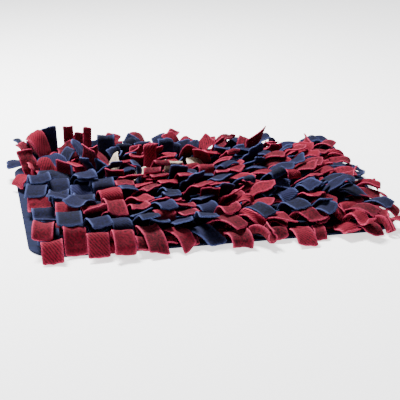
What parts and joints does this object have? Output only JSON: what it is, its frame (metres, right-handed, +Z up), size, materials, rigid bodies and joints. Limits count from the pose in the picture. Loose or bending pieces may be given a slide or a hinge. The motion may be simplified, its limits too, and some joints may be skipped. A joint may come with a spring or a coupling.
{
  "type": "snuffle mat",
  "caption": "Flat felt mat covered by a soft pile of fleece strips drawn through it in tiers, for hiding dry food between them",
  "frame": {"origin": "middle of the base mat's underside, on the surface it lies on", "axes": "+Z up out of the pile, +X along the mat's long side, -Y towards the fringed front edge"},
  "size_m": [0.49, 0.4083, 0.0621],
  "materials": {
    "base": "navy needle felt, dense and matt, with short loose hairs",
    "navy": "navy anti-pill fleece, brushed both sides, matt with a soft lit nap",
    "red": "crimson anti-pill fleece, brushed both sides, matt with a soft lit nap",
    "cream": "cream anti-pill fleece, brushed both sides, matt"
  },
  "bodies": {
    "root": {"base_mat": "base", "tier_01_red": "red", "tier_02_navy": "navy", "tier_02_red": "red", "tier_03_navy": "navy", "tier_03_red": "red", "tier_04_navy": "navy", "tier_04_red": "red", "tier_05_navy": "navy", "tier_05_red": "red", "tier_06_navy": "navy", "tier_06_red": "red", "tier_07_navy": "navy", "tier_07_red": "red", "tier_08_navy": "navy", "tier_08_red": "red", "tier_09_navy": "navy", "tier_09_red": "red", "tier_10_navy": "navy", "tier_10_red": "red", "tier_11_cream": "cream", "tier_11_navy": "navy", "tier_11_red": "red", "tier_12_cream": "cream", "tier_12_navy": "navy", "tier_12_red": "red", "tier_13_navy": "navy", "tier_13_red": "red", "tier_14_navy": "navy", "tier_14_red": "red", "tier_15_navy": "navy", "tier_15_red": "red", "tier_16_navy": "navy", "tier_16_red": "red"}
  },
  "joints": []
}
